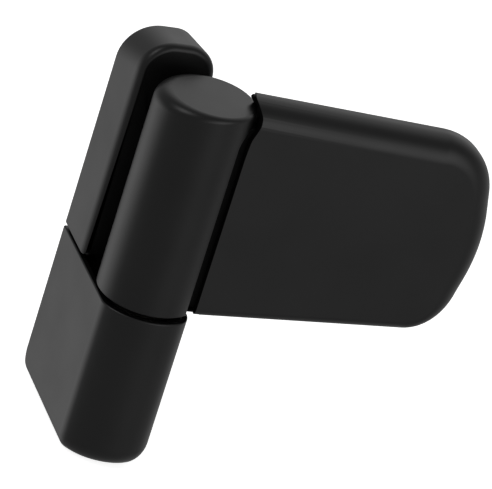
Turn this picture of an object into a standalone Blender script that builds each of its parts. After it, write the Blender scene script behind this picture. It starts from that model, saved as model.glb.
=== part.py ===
# Flag hinge with moulded covers, closed.
# Metres, +Z up. The door frame's face is the plane y = 0, and -Y looks at the viewer.
# The flag runs along +X from the pin, and z = 0 is the underside of the knuckle.
import math

import bmesh
import bpy
from mathutils import Vector

# Fits shared by all pieces
SEAT = 0.0003
PIN_FIT = 0.0001
COVER_WALL = 0.0016

# Pin axis, measured from the door frame's face
PIN_TO_FRAME = 0.0358
PIN_COVER = 0.0100
PIN_CHAMFER = 0.0006

# Knuckle: a round cap over the leaf's barrel
KNUCKLE_RADIUS = 0.0140
KNUCKLE_HEIGHT = 0.0617
KNUCKLE_EDGE = 0.0012
KNUCKLE_EDGE_BACK = 0.0034
CAP_TOP_WALL = 0.0018
CAP_RING = 0.0038
SLOT_FRONT_SET = 0.0026
SLOT_BACK = 0.0060
SLOT_CORNER = 0.0060
RUNNING_GAP = 0.0012

# Frame part: lower cover, upper cover and the casting behind them
FRAME_RIGHT_SET = 0.0036
LOWER_LIP = 0.0012
LOWER_HEIGHT = 0.0474
LOWER_LEFT_BLEND = 0.0060
LOWER_RIGHT_BLEND = 0.0074
LOWER_LEFT_FILLET = 0.0039
LOWER_FRONT_FILLET = 0.0056
LOWER_RIGHT_FILLET = 0.0074
LOWER_BACK_FILLET = 0.0075
PARTING = 0.0008
UPPER_SIDE_STEP = 0.0024
UPPER_RISE = 0.0054
UPPER_BACK_DROP = 0.0035
UPPER_GAP = 0.0029
UPPER_LEFT_CORNER_SET = 0.0018
UPPER_RIGHT_CORNER_SET = 0.0019
UPPER_BACK_LEFT_CORNER_SET = 0.0002
UPPER_BACK_RIGHT_CORNER_SET = 0.0038
UPPER_FILLET = 0.0022

PACKER_THICK = 0.0020
PLATE_THICK = 0.0060
PLATE_FOOT_CLEAR = 0.0076
PLATE_TOP_CLEAR = 0.0111
PLATE_CORNER_SET = 0.0012
RIB_THICK = 0.0024
RIB_DEPTH = 0.0062
RIB_BOTTOM = 0.0020
RIB_TOP_CLEAR = 0.0040
TOWER_WALL = 0.0024
TOWER_FOOT = 0.0015
ARM_WIDTH = 0.0120
POCKET_DEPTH = 0.0028

# Bearing stack on the pin
ECCENTRICITY = 0.0008
BUSH_WALL = 0.0012
FLANGE_THICK = 0.0014
FLANGE_OVERHANG = 0.0014
WASHER_THICK = 0.0012
BUSH_DEPTH = 0.0190
BEARING_WALL = 0.0026
BEARING_LENGTH = 0.0180
BEARING_FLANGE = 0.0016
HEIGHT_SCREW_RADIUS = 0.0048
HEIGHT_SCREW_LENGTH = 0.0065
LOCK_SCREW_RADIUS = 0.0020
LOCK_SCREW_DROP = 0.0091

# Flag: the cover's outline, seen from the front and measured from the pin axis
FLAG_START_SET = 0.0029
FLAG_SHOULDER_SET = 0.0009
FLAG_END = 0.0917
FLAG_MIDDLE_DROP = 0.0022
FLAG_RISE = 0.0031
FLAG_TOP_FALL = 0.0043
FLAG_TOP_LEAN = 0.0070
FLAG_TOP_CORNER_SET = 0.01305
FLAG_BOTTOM = -0.0019
FLAG_BOTTOM_RISE = 0.0040
FLAG_BOTTOM_LEAN = 0.0058
FLAG_BOTTOM_CORNER_SET = 0.01805
FLAG_BULGE_SET = 0.0183
FLAG_FRONT = 0.0095
FLAG_DEPTH = 0.0086
FLAG_END_FILLET = 0.0070
FLAG_TOP_FILLET = 0.0080
FLAG_TOP_FILLET_END = 0.0054
FLAG_BOTTOM_FILLET = 0.0030
FLAG_END_WALL = 0.0012
FLAG_INNER_CORNER = 0.0026
FLAG_STEP_DROP = 0.0047
FLAG_STEP_RISE = 0.0008
FLAG_STEP_ROUND = 0.0100
FLAG_STEP_BEND = 0.0060
RING_GAP = 0.0004
BARREL_GAP = 0.0005
LOWER_CLEARANCE = 0.0006

LEAF_THICK = 0.0040
LEAF_MARGIN = 0.0012
NECK_THICK = 0.0064
NECK_BOTTOM = 0.0009
NECK_CLEARANCE = 0.0009
SASH_PLATE_THICK = 0.0030
SASH_PLATE_INSET = 0.0050
SASH_PLATE_START = 0.0200
ADJUST_TRAVEL = 0.0025
CAM_RADIUS = 0.0050
CAM_PIN_RADIUS = 0.0020

# Screws
SCREW_RADIUS = 0.0021
SCREW_HEAD_RADIUS = 0.0037
SCREW_HEAD_HEIGHT = 0.0024
SCREW_LENGTH = 0.0180
SCREW_POINT = 0.0040
CLAMP_RADIUS = 0.0020
CLAMP_HEAD_RADIUS = 0.0040
CLAMP_HEAD_HEIGHT = 0.0022
RECESS_WIDTH = 0.0010
RECESS_DEPTH = 0.0014
FRAME_SCREW_OFFSET = 0.0030
FRAME_SCREW_END = 0.0080
FRAME_SCREW_PAIR = 0.0088
FRAME_SCREW_PAIR_LIFT = 0.0050
SASH_SCREW_NEAR = 0.0160
SASH_SCREW_FAR = 0.0200
SASH_SCREW_NEAR_MARGIN = 0.0150
SASH_SCREW_FAR_MARGIN = 0.0180
CLAMP_REACH = 0.0390
CLAMP_MARGIN = 0.0160
CAM_REACH = 0.0290

# Facets
ARC_STEPS = 6
FILLET_STEPS = 4
ROUND = 40
SMALL_ROUND = 20
SMOOTH_ANGLE = math.radians(34)

# Levels and sizes that follow from the ones above
PIN_Y = -PIN_TO_FRAME
PIN_RADIUS = KNUCKLE_RADIUS - PIN_COVER
FRAME_WIDTH = KNUCKLE_RADIUS * 2 - FRAME_RIGHT_SET
HALF_WIDTH = FRAME_WIDTH / 2
PIN_X = KNUCKLE_RADIUS - HALF_WIDTH
UPPER_WIDTH = FRAME_WIDTH - UPPER_SIDE_STEP
UPPER_CENTRE = -UPPER_SIDE_STEP / 2
UPPER_LEFT_CORNER = UPPER_WIDTH / 2 - UPPER_LEFT_CORNER_SET
UPPER_RIGHT_CORNER = UPPER_WIDTH / 2 - UPPER_RIGHT_CORNER_SET
UPPER_BACK_LEFT_CORNER = UPPER_WIDTH / 2 - UPPER_BACK_LEFT_CORNER_SET
UPPER_BACK_RIGHT_CORNER = UPPER_WIDTH / 2 - UPPER_BACK_RIGHT_CORNER_SET
UPPER_TOP = KNUCKLE_HEIGHT + UPPER_RISE
SLOT_FRONT = KNUCKLE_RADIUS - SLOT_FRONT_SET
LOWER_TOP = -RUNNING_GAP
LOWER_BOTTOM = LOWER_TOP - LOWER_HEIGHT
LOWER_RADIUS = KNUCKLE_RADIUS + LOWER_LIP
COVER_BACK = -0.0002
UPPER_FRONT = PIN_Y + KNUCKLE_RADIUS + UPPER_GAP
UPPER_BOTTOM = LOWER_TOP + PARTING
PLATE_HALF = UPPER_WIDTH / 2 - COVER_WALL - SEAT
PLATE_BACK = -PACKER_THICK - SEAT
PLATE_FRONT = PLATE_BACK - PLATE_THICK
PLATE_CORNER = PLATE_HALF - PLATE_CORNER_SET
PLATE_TOP = UPPER_TOP - PLATE_TOP_CLEAR
PLATE_BOTTOM = LOWER_BOTTOM + PLATE_FOOT_CLEAR
RIB_TOP = PLATE_TOP - RIB_TOP_CLEAR
BARREL_RADIUS = KNUCKLE_RADIUS - COVER_WALL - SEAT
BARREL_BOTTOM = SEAT
BARREL_TOP = KNUCKLE_HEIGHT - CAP_TOP_WALL - SEAT
PIN_BORE = PIN_RADIUS + PIN_FIT
BUSH_RADIUS = PIN_BORE + BUSH_WALL + ECCENTRICITY
TOWER_BORE = BUSH_RADIUS + SEAT
TOWER_RADIUS = TOWER_BORE + TOWER_WALL
WASHER_TOP = BARREL_BOTTOM - SEAT
WASHER_BOTTOM = WASHER_TOP - WASHER_THICK
FLANGE_TOP = WASHER_BOTTOM - SEAT
TOWER_TOP = FLANGE_TOP - FLANGE_THICK - SEAT
BUSH_BOTTOM = TOWER_TOP - BUSH_DEPTH
PIN_BOTTOM = BUSH_BOTTOM
LOCK_SCREW_Z = TOWER_TOP - LOCK_SCREW_DROP
BEARING_RADIUS = PIN_BORE + BEARING_WALL
BEARING_FLANGE_RADIUS = BEARING_RADIUS + FLANGE_OVERHANG
HEIGHT_SCREW_TOP = PIN_BOTTOM - SEAT
TOWER_BOTTOM = HEIGHT_SCREW_TOP - HEIGHT_SCREW_LENGTH - TOWER_FOOT
RING_LEVEL = KNUCKLE_HEIGHT - CAP_RING
NECK_TOP = RING_LEVEL - NECK_CLEARANCE
FLAG_TOP = KNUCKLE_HEIGHT + FLAG_RISE
FLAG_START = KNUCKLE_RADIUS - FLAG_START_SET
FLAG_SHOULDER = KNUCKLE_RADIUS - FLAG_SHOULDER_SET
FLAG_HEIGHT = FLAG_TOP - FLAG_BOTTOM
FLAG_MIDDLE = FLAG_BOTTOM + FLAG_HEIGHT / 2
FLAG_TOP_CORNER = FLAG_HEIGHT / 2 - FLAG_TOP_CORNER_SET
FLAG_BOTTOM_CORNER = FLAG_HEIGHT / 2 - FLAG_BOTTOM_CORNER_SET
FLAG_BULGE = FLAG_HEIGHT - FLAG_BULGE_SET
FLAG_BACK = FLAG_DEPTH - FLAG_FRONT
SASH_BACK = FLAG_BACK + SEAT + SASH_PLATE_THICK
CAVITY_START = KNUCKLE_RADIUS + RING_GAP + FLAG_END_WALL
LEAF_START = CAVITY_START + LEAF_MARGIN
SASH_SCREWS = (
    (FLAG_START + SASH_SCREW_NEAR, FLAG_BOTTOM + SASH_SCREW_NEAR_MARGIN),
    (FLAG_START + SASH_SCREW_NEAR, FLAG_TOP - SASH_SCREW_NEAR_MARGIN),
    (FLAG_END - SASH_SCREW_FAR, FLAG_BOTTOM + SASH_SCREW_FAR_MARGIN),
    (FLAG_END - SASH_SCREW_FAR, FLAG_TOP - SASH_SCREW_FAR_MARGIN),
)
CLAMP_SCREWS = (
    (FLAG_START + CLAMP_REACH, FLAG_BOTTOM + CLAMP_MARGIN),
    (FLAG_START + CLAMP_REACH, FLAG_TOP - CLAMP_MARGIN),
)
CAM_PLACE = (FLAG_START + CAM_REACH, FLAG_MIDDLE)


def material(name, colour, roughness, metallic):
    """One Principled material, by name."""
    made = bpy.data.materials.new(name)
    made.use_nodes = True
    shader = made.node_tree.nodes["Principled BSDF"]
    shader.inputs["Base Color"].default_value = (*colour, 1.0)
    shader.inputs["Roughness"].default_value = roughness
    shader.inputs["Metallic"].default_value = metallic
    made.diffuse_color = (*colour, 1.0)
    return made


def plan(u, v, w):
    """Outline in X and Y, depth along Z."""
    return Vector((u, v, w))


def front(u, v, w):
    """Outline in X and Z, depth along Y."""
    return Vector((u, w, v))


def side(u, v, w):
    """Outline in Y and Z, depth along X."""
    return Vector((w, u, v))


def rounded(corners, steps=ARC_STEPS):
    """Outline with normals from (u, v, radius) corners; a radius of 0 keeps the corner sharp."""
    outline = []
    count = len(corners)
    turn = sum(
        corners[i][0] * corners[(i + 1) % count][1] - corners[(i + 1) % count][0] * corners[i][1]
        for i in range(count)
    )
    for i, (u, v, radius) in enumerate(corners):
        corner = Vector((u, v))
        to_last = (Vector(corners[i - 1][:2]) - corner).normalized()
        to_next = (Vector(corners[(i + 1) % count][:2]) - corner).normalized()
        convex = (to_next.cross(to_last) > 0) == (turn > 0)
        inward = (to_last + to_next).normalized()
        if radius <= 0:
            outline.append((corner, -inward if convex else inward))
            continue
        half = to_last.angle(to_next) / 2
        centre = corner + inward * radius / math.sin(half)
        start = corner + to_last * radius / math.tan(half) - centre
        end = corner + to_next * radius / math.tan(half) - centre
        sweep = math.pi - 2 * half
        for k in range(steps + 1):
            t = k / steps
            spoke = (start * math.sin((1 - t) * sweep) + end * math.sin(t * sweep)) / math.sin(sweep)
            normal = spoke.normalized()
            outline.append((centre + spoke, normal if convex else -normal))
    return outline


def ellipse(radius_u, radius_v, count, centre=(0.0, 0.0)):
    """Outline with normals of an ellipse."""
    outline = []
    for k in range(count):
        angle = 2 * math.pi * k / count
        point = Vector((centre[0] + radius_u * math.cos(angle), centre[1] + radius_v * math.sin(angle)))
        normal = Vector((math.cos(angle) / radius_u, math.sin(angle) / radius_v)).normalized()
        outline.append((point, normal))
    return outline


def inset(outline, distance):
    """The outline moved inwards along its normals."""
    return [(point - normal * distance, normal) for point, normal in outline]


def finish(name, bm, finish_material, parent=None):
    """Turn a bmesh into a named, smooth-shaded object."""
    bmesh.ops.remove_doubles(bm, verts=bm.verts, dist=1e-6)
    bmesh.ops.recalc_face_normals(bm, faces=bm.faces)
    mesh = bpy.data.meshes.new(name)
    bm.to_mesh(mesh)
    bm.free()
    shape = bpy.data.objects.new(name, mesh)
    bpy.context.collection.objects.link(shape)
    if finish_material is not None:
        mesh.materials.append(finish_material)
    mesh.shade_smooth()
    mesh.set_sharp_from_angle(angle=SMOOTH_ANGLE)
    shape.parent = parent
    return shape


def ring_faces(bm, lower, upper):
    """Quads between two rings of as many vertices."""
    count = len(lower)
    for k in range(count):
        bm.faces.new((lower[k], lower[(k + 1) % count], upper[(k + 1) % count], upper[k]))


def prism(name, outline, low, high, place, finish_material=None, parent=None):
    """An outline drawn out along its depth axis."""
    bm = bmesh.new()
    rings = [[bm.verts.new(place(*point, level)) for point, _ in outline] for level in (low, high)]
    ring_faces(bm, rings[0], rings[1])
    bm.faces.new(rings[0])
    bm.faces.new(rings[1])
    return finish(name, bm, finish_material, parent)


def dished(name, outline, fillet, face, far, place, finish_material=None, parent=None, far_outline=None):
    """A body with a flat face whose rim is rounded by fillet(point, normal), drawn out to the far level."""
    bm = bmesh.new()
    far_outline = far_outline or outline
    step = 1 if far > face else -1
    rings = [[bm.verts.new(place(*point, far)) for point, _ in far_outline]]
    for i in range(FILLET_STEPS + 1):
        angle = i / FILLET_STEPS * math.pi / 2
        ring = []
        for (point, normal), (far_point, _) in zip(outline, far_outline):
            radius = fillet(point, normal)
            level = face + step * radius * (1 - math.sin(angle))
            share = (level - face) / (far - face)
            edge = point.lerp(far_point, share) - normal * radius * (1 - math.cos(angle))
            ring.append(bm.verts.new(place(*edge, level)))
        rings.append(ring)
    for last, following in zip(rings, rings[1:]):
        ring_faces(bm, last, following)
    bm.faces.new(rings[0])
    bm.faces.new(rings[-1])
    return finish(name, bm, finish_material, parent)


def turned(name, profile, finish_material=None, parent=None, segments=ROUND):
    """A solid turned about Z from a closed profile of (radius, height) points."""
    bm = bmesh.new()
    verts = [bm.verts.new((radius, 0, height)) for radius, height in profile]
    edges = []
    for k, vert in enumerate(verts):
        following = verts[(k + 1) % len(verts)]
        if vert.co.x > 0 or following.co.x > 0:
            edges.append(bm.edges.new((vert, following)))
    turn = 2 * math.pi
    bmesh.ops.spin(bm, geom=verts + edges, axis=(0, 0, 1), angle=turn, steps=segments, use_merge=True)
    return finish(name, bm, finish_material, parent)


def combine(target, tool, operation):
    """Apply a Boolean of the tool to the target and remove the tool."""
    modifier = target.modifiers.new("combine", "BOOLEAN")
    modifier.operation = operation
    modifier.solver = "EXACT"
    modifier.object = tool
    bpy.context.view_layer.update()
    graph = bpy.context.evaluated_depsgraph_get()
    mesh = bpy.data.meshes.new_from_object(target.evaluated_get(graph))
    target.modifiers.clear()
    old = target.data
    name = old.name
    target.data = mesh
    bpy.data.meshes.remove(old)
    mesh.name = name
    mesh.set_sharp_from_angle(angle=SMOOTH_ANGLE)
    tool_mesh = tool.data
    bpy.data.objects.remove(tool)
    bpy.data.meshes.remove(tool_mesh)


def cut(target, tool):
    combine(target, tool, "DIFFERENCE")


def fuse(target, tool):
    combine(target, tool, "UNION")


def rod(radius, low, high, place, centre, segments=SMALL_ROUND):
    """A round bar along the depth axis, for cuts and bosses."""
    return prism("rod", ellipse(radius, radius, segments, centre), low, high, place)


def slot(radius, travel, low, high, place, centre):
    """A bar with a long-hole section, its travel along the first axis."""
    u, v = centre
    corners = (
        (u - travel - radius, v - radius, radius * 0.999),
        (u + travel + radius, v - radius, radius * 0.999),
        (u + travel + radius, v + radius, radius * 0.999),
        (u - travel - radius, v + radius, radius * 0.999),
    )
    return prism("slot", rounded(corners), low, high, place)


def block(u0, u1, v0, v1, low, high, place):
    """A plain bar with a rectangular section, for cuts and bosses."""
    return prism("block", rounded(((u0, v0, 0), (u1, v0, 0), (u1, v1, 0), (u0, v1, 0))), low, high, place)


def countersink(face, place, centre, step):
    """Clearance hole with a cone for a countersunk head whose top is flush with the face."""
    bore = SCREW_RADIUS + SEAT
    mouth = SCREW_HEAD_RADIUS + SEAT
    bm = bmesh.new()
    levels = (
        (mouth, face - step * SEAT),
        (mouth, face),
        (bore, face + step * (SCREW_HEAD_HEIGHT + SEAT)),
        (bore, face + step * SCREW_LENGTH),
    )
    rings = [
        [bm.verts.new(place(*point, level)) for point, _ in ellipse(radius, radius, SMALL_ROUND, centre)]
        for radius, level in levels
    ]
    for last, following in zip(rings, rings[1:]):
        ring_faces(bm, last, following)
    bm.faces.new(rings[0])
    bm.faces.new(rings[-1])
    return finish("countersink", bm, None)


def wood_screw(name, spot, parent):
    """Countersunk screw with a cross recess; its head is flush with spot's y and it points along +Y."""
    profile = (
        (0, 0),
        (SCREW_HEAD_RADIUS, 0),
        (SCREW_HEAD_RADIUS, -0.0004),
        (SCREW_RADIUS, -SCREW_HEAD_HEIGHT),
        (SCREW_RADIUS, SCREW_POINT - SCREW_LENGTH),
        (0, -SCREW_LENGTH),
    )
    screw = turned(name, profile, STEEL, parent, SMALL_ROUND)
    cross_recess(screw, SCREW_HEAD_RADIUS * 0.55, 0)
    aim_along_depth(screw, spot)
    return screw


def cap_screw(name, spot, length, parent):
    """Pan-head screw with a cross recess; the underside of its head is at spot's y."""
    profile = (
        (0, CLAMP_HEAD_HEIGHT),
        (CLAMP_HEAD_RADIUS * 0.7, CLAMP_HEAD_HEIGHT),
        (CLAMP_HEAD_RADIUS, CLAMP_HEAD_HEIGHT * 0.5),
        (CLAMP_HEAD_RADIUS, 0),
        (CLAMP_RADIUS, 0),
        (CLAMP_RADIUS, -length),
        (0, -length),
    )
    screw = turned(name, profile, STEEL, parent, SMALL_ROUND)
    cross_recess(screw, CLAMP_HEAD_RADIUS * 0.5, CLAMP_HEAD_HEIGHT)
    aim_along_depth(screw, spot)
    return screw


def cross_recess(screw, reach, top):
    """Sink a cross for the driver into a head whose flat top is at the given height."""
    half = RECESS_WIDTH / 2
    for u, v in ((reach, half), (half, reach)):
        cut(screw, block(-u, u, -v, v, top - RECESS_DEPTH, top + RECESS_DEPTH, plan))


def aim_along_depth(screw, spot):
    """Point a piece made along -Z towards +Y."""
    screw.rotation_euler = (math.pi / 2, 0, 0)
    screw.location = spot


for old_object in list(bpy.data.objects):
    bpy.data.objects.remove(old_object)

COVER_BLACK = material("moulded_cover_black", (0.012, 0.012, 0.012), 0.36, 0.0)
ZINC = material("black_coated_zinc", (0.020, 0.020, 0.021), 0.50, 0.0)
STEEL = material("zinc_plated_steel", (0.55, 0.56, 0.58), 0.32, 1.0)
BEARING = material("bearing_polymer", (0.70, 0.69, 0.64), 0.45, 0.0)
NYLON = material("black_nylon", (0.03, 0.03, 0.03), 0.60, 0.0)

flag_pivot = bpy.data.objects.new("flag_pivot", None)
flag_pivot.location = (PIN_X, PIN_Y, 0)
bpy.context.collection.objects.link(flag_pivot)
pin_stand = bpy.data.objects.new("pin_stand", None)
pin_stand.location = (PIN_X, PIN_Y, 0)
bpy.context.collection.objects.link(pin_stand)


def lower_outline(shrink, back):
    """Plan of the lower cover: round front about the pin, blended into two flat sides."""
    left = -HALF_WIDTH + shrink
    right = HALF_WIDTH - shrink
    reach = LOWER_RADIUS - shrink
    blend = LOWER_RIGHT_BLEND - shrink
    gap = right - PIN_X - blend
    drop = math.sqrt((reach - blend) ** 2 - gap**2)
    centre = Vector((right - blend, PIN_Y - drop))
    meet = math.atan2(-drop, gap)
    left_blend = LOWER_LEFT_BLEND - shrink
    left_gap = PIN_X - left - left_blend
    left_drop = math.sqrt((reach - left_blend) ** 2 - left_gap**2)
    left_centre = Vector((left + left_blend, PIN_Y - left_drop))
    left_meet = math.atan2(-left_drop, -left_gap)
    arcs = (
        (centre, blend, 0, meet, ARC_STEPS),
        (Vector((PIN_X, PIN_Y)), reach, meet, left_meet, ARC_STEPS * 3),
        (left_centre, left_blend, left_meet, -math.pi, ARC_STEPS),
    )
    outline = [(Vector((right, back)), Vector((1, 0)))]
    for middle, radius, first, last, steps in arcs:
        for k in range(steps + 1):
            angle = first + (last - first) * k / steps
            spoke = Vector((math.cos(angle), math.sin(angle)))
            outline.append((middle + spoke * radius, spoke))
    outline.append((Vector((left, back)), Vector((-1, 0))))
    clear = [outline[0]]
    for point, normal in outline[1:]:
        if (point - clear[-1][0]).length > 1e-6:
            clear.append((point, normal))
    return clear


def lower_corner(shrink, top):
    """Tool that rounds the lower cover, or its cavity, at the bottom of the back."""
    bottom = LOWER_BOTTOM
    reach = LOWER_BACK_FILLET
    corners = (
        (COVER_BACK - reach * 2, bottom - reach, 0),
        (COVER_BACK + reach, bottom - reach, 0),
        (COVER_BACK + reach, top, 0),
        (COVER_BACK - shrink, top, 0),
        (COVER_BACK - shrink, bottom + shrink, reach - shrink),
        (COVER_BACK - reach * 2, bottom + shrink, 0),
    )
    return prism("corner", rounded(corners), -HALF_WIDTH * 2, HALF_WIDTH * 2, side)


def build_lower_cover():
    """Cap over the bearing tower: open at the top and back, domed underneath."""
    bottom = LOWER_BOTTOM

    def rim(point, normal):
        sideways = LOWER_RIGHT_FILLET if normal.x > 0 else LOWER_LEFT_FILLET
        return LOWER_FRONT_FILLET + (sideways - LOWER_FRONT_FILLET) * normal.x**2

    def inner_rim(point, normal):
        return rim(point, normal) - COVER_WALL

    cover = dished("lower_cover", lower_outline(0, COVER_BACK), rim, bottom, LOWER_TOP, plan, COVER_BLACK)
    cut(cover, lower_corner(0, bottom + LOWER_BACK_FILLET * 2))
    inner = lower_outline(COVER_WALL, PACKER_THICK)
    cavity = dished("cavity", inner, inner_rim, bottom + COVER_WALL, LOWER_TOP + COVER_WALL, plan)
    cut(cavity, lower_corner(COVER_WALL, bottom + LOWER_BACK_FILLET))
    cut(cover, cavity)
    return cover


def upper_outline(top, left_corner, right_corner, shrink):
    """Front view of the upper cover: straight sides under a round top."""
    left = UPPER_CENTRE - UPPER_WIDTH / 2 + shrink
    right = UPPER_CENTRE + UPPER_WIDTH / 2 - shrink
    return rounded(
        (
            (left, UPPER_BOTTOM, 0),
            (right, UPPER_BOTTOM, 0),
            (right, top - shrink, right_corner - shrink),
            (left, top - shrink, left_corner - shrink),
        ),
        ARC_STEPS + 2,
    )


def build_upper_cover():
    """Cap over the upper plate: its top falls towards the door frame, and it is open at back and bottom."""

    def near_outline(shrink):
        return upper_outline(UPPER_TOP, UPPER_LEFT_CORNER, UPPER_RIGHT_CORNER, shrink)

    def far_outline(shrink):
        back_top = UPPER_TOP - UPPER_BACK_DROP
        return upper_outline(back_top, UPPER_BACK_LEFT_CORNER, UPPER_BACK_RIGHT_CORNER, shrink)

    cover = dished(
        "upper_cover",
        near_outline(0),
        lambda point, normal: UPPER_FILLET,
        UPPER_FRONT,
        COVER_BACK,
        front,
        COVER_BLACK,
        far_outline=far_outline(0),
    )
    cavity = dished(
        "cavity",
        near_outline(COVER_WALL),
        lambda point, normal: SEAT,
        UPPER_FRONT + COVER_WALL,
        COVER_BACK + COVER_WALL,
        front,
        far_outline=far_outline(COVER_WALL),
    )
    left = UPPER_CENTRE - UPPER_WIDTH / 2 + COVER_WALL
    right = UPPER_CENTRE + UPPER_WIDTH / 2 - COVER_WALL
    low = UPPER_BOTTOM - COVER_WALL
    cut(cover, cavity)
    cut(cover, block(left, right, low, RIB_TOP / 4, UPPER_FRONT + COVER_WALL, COVER_BACK + COVER_WALL, front))
    return cover


def build_knuckle_cover():
    """Round cap over the barrel, with a tall slot for the leaf's neck."""
    outer = ellipse(KNUCKLE_RADIUS, KNUCKLE_RADIUS, ROUND * 2)

    def rim(point, normal):
        back = (1 + normal.dot(Vector((-1, 1)).normalized())) / 2
        return KNUCKLE_EDGE + KNUCKLE_EDGE_BACK * back**3

    cover = dished("knuckle_cover", outer, rim, KNUCKLE_HEIGHT, 0, plan, COVER_BLACK, flag_pivot)
    inner = inset(outer, COVER_WALL)
    cut(cover, prism("cavity", inner, -COVER_WALL, KNUCKLE_HEIGHT - CAP_TOP_WALL, plan, parent=flag_pivot))
    window = rounded(
        (
            (-SLOT_FRONT, -COVER_WALL, 0),
            (SLOT_BACK, -COVER_WALL, 0),
            (SLOT_BACK, RING_LEVEL, SLOT_CORNER),
            (-SLOT_FRONT, RING_LEVEL, SLOT_CORNER),
        )
    )
    start = math.sqrt((KNUCKLE_RADIUS - COVER_WALL) ** 2 - SLOT_FRONT**2) * 0.9
    cut(cover, prism("window", window, start, KNUCKLE_RADIUS * 1.5, side, parent=flag_pivot))
    return cover


def flag_top(x):
    """Height of the flag cover's straight top line."""
    return FLAG_TOP - FLAG_TOP_FALL * (x - FLAG_START) / (FLAG_END - FLAG_TOP_LEAN - FLAG_START)


def flag_outline():
    """Front view of the flag cover: tapered, with large corners and a bulging free end."""
    start = FLAG_START / 2
    bottom_end = FLAG_END - FLAG_BOTTOM_LEAN
    top_end = FLAG_END - FLAG_TOP_LEAN
    bottom_slope = FLAG_BOTTOM_RISE / (bottom_end - FLAG_START)
    return rounded(
        (
            (start, FLAG_BOTTOM - bottom_slope * (FLAG_START - start), 0),
            (bottom_end, FLAG_BOTTOM + FLAG_BOTTOM_RISE, FLAG_BOTTOM_CORNER),
            (FLAG_END, FLAG_MIDDLE - FLAG_MIDDLE_DROP, FLAG_BULGE),
            (top_end, flag_top(top_end), FLAG_TOP_CORNER),
            (start, flag_top(start), 0),
        ),
        ARC_STEPS + 2,
    )


def flag_rim(point, normal):
    """Fillet of the front face: large along the top, narrowing towards the end, and small along the bottom."""
    share = (point.x - FLAG_START) / (FLAG_END - FLAG_START)
    top = FLAG_TOP_FILLET + (FLAG_TOP_FILLET_END - FLAG_TOP_FILLET) * min(1, max(0, share))
    upright = top if normal.y > 0 else FLAG_BOTTOM_FILLET
    return FLAG_END_FILLET + (upright - FLAG_END_FILLET) * normal.y**2


def swept_cut(target, radius, low, high):
    """Clear a round space about the pin axis out of a piece of the flag."""
    profile = ((0, low), (radius, low), (radius, high), (0, high))
    cut(target, turned("sweep", profile, parent=flag_pivot, segments=ROUND * 2))


def build_flag_cover():
    """Cap over the leaf: its inner end steps round the knuckle's cap and clears the lower cover."""
    outline = flag_outline()
    cover = dished("flag_cover", outline, flag_rim, -FLAG_FRONT, FLAG_BACK, front, COVER_BLACK, flag_pivot)
    cavity = dished(
        "cavity",
        inset(outline, COVER_WALL),
        lambda point, normal: flag_rim(point, normal) - COVER_WALL,
        COVER_WALL - FLAG_FRONT,
        FLAG_BACK + COVER_WALL,
        front,
        parent=flag_pivot,
    )
    keep = block(CAVITY_START, FLAG_END, -FLAG_TOP, FLAG_TOP * 2, -FLAG_DEPTH * 2, FLAG_DEPTH * 2, front)
    keep.parent = flag_pivot
    combine(cavity, keep, "INTERSECT")
    low = FLAG_BOTTOM * 5
    high = FLAG_TOP * 1.2
    beyond = FLAG_SHOULDER + FLAG_INNER_CORNER * 2
    end = rounded(
        (
            (0, low, 0),
            (FLAG_START, low, 0),
            (FLAG_START, RING_LEVEL - FLAG_STEP_DROP, FLAG_STEP_ROUND),
            (FLAG_SHOULDER, RING_LEVEL + FLAG_STEP_RISE, FLAG_STEP_BEND),
            (FLAG_SHOULDER, flag_top(FLAG_SHOULDER) + SEAT / 6, FLAG_INNER_CORNER),
            (beyond, flag_top(beyond) + SEAT / 6, 0),
            (beyond, high, 0),
            (0, high, 0),
        )
    )
    cut(cover, prism("end", end, -FLAG_DEPTH * 2, FLAG_DEPTH * 2, front, parent=flag_pivot))
    swept_cut(cover, BARREL_RADIUS + BARREL_GAP, low, high)
    swept_cut(cover, KNUCKLE_RADIUS + RING_GAP, RING_LEVEL - CAP_RING, high)
    swept_cut(cover, LOWER_RADIUS + LOWER_CLEARANCE, low, LOWER_TOP + LOWER_CLEARANCE)
    cut(cover, cavity)
    neck_way = block(
        0,
        CAVITY_START + COVER_WALL,
        NECK_BOTTOM - SEAT,
        NECK_TOP + SEAT,
        FLAG_BACK - NECK_THICK - SEAT,
        FLAG_BACK + COVER_WALL,
        front,
    )
    neck_way.parent = flag_pivot
    cut(cover, neck_way)
    return cover


def plate_outline():
    """Outline shared by the packer and the casting's back plate."""
    left = UPPER_CENTRE - PLATE_HALF
    right = UPPER_CENTRE + PLATE_HALF
    return rounded(
        (
            (left, PLATE_BOTTOM, 0.002),
            (right, PLATE_BOTTOM, 0.002),
            (right, PLATE_TOP, PLATE_CORNER),
            (left, PLATE_TOP, PLATE_CORNER),
        )
    )


def frame_screw_places():
    """Three staggered screws up the frame plate, and a pair below the tower."""
    high = PLATE_TOP - FRAME_SCREW_END
    low = FRAME_SCREW_END
    pair = PLATE_BOTTOM + FRAME_SCREW_PAIR_LIFT
    return (
        (UPPER_CENTRE - FRAME_SCREW_OFFSET, high),
        (UPPER_CENTRE + FRAME_SCREW_OFFSET, (high + low) / 2),
        (UPPER_CENTRE - FRAME_SCREW_OFFSET, low),
        (UPPER_CENTRE - FRAME_SCREW_PAIR / 2, pair),
        (UPPER_CENTRE + FRAME_SCREW_PAIR / 2, pair),
    )


def build_frame_packer():
    """Nylon plate that the casting stands on; its back is the face on the door frame."""
    packer = prism("frame_packer", plate_outline(), -PACKER_THICK, 0, front, NYLON)
    for spot in frame_screw_places():
        cut(packer, rod(SCREW_RADIUS + SEAT, -PACKER_THICK * 2, PACKER_THICK, front, spot))
    return packer


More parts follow.
